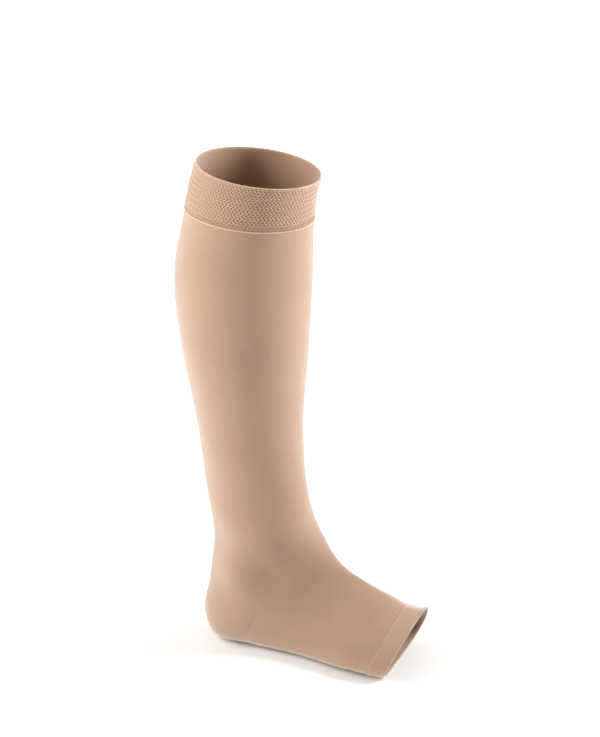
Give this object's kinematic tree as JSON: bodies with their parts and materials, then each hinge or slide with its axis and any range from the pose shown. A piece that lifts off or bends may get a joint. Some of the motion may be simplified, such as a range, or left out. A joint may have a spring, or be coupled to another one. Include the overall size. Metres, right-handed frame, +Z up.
{
  "type": "knee-high open-toe compression stocking",
  "caption": "Knee-high open-toe compression stocking, knitted as a shaped tube with a heel pocket, a zigzag-knit top band and a hemmed toe band, standing in the round as worn.",
  "frame": {"origin": "middle of the top opening, where the leg holds the stocking", "axes": "+Z up the leg and out of the top opening, +X towards the toes, +Y to the inner side of the right leg"},
  "size_m": [0.2083, 0.106, 0.4149],
  "materials": {
    "body_knit": "fine matte knit of beige covered elastic yarn",
    "heel_knit": "the same fine knit, worked in short rows",
    "band_knit": "thick zigzag-relief knit over elastic",
    "hem_knit": "the fine knit folded double"
  },
  "bodies": {
    "root": {"leg_foot_tube": "body_knit", "heel_pocket": "heel_knit", "top_band": "band_knit", "toe_band": "hem_knit"}
  },
  "joints": []
}
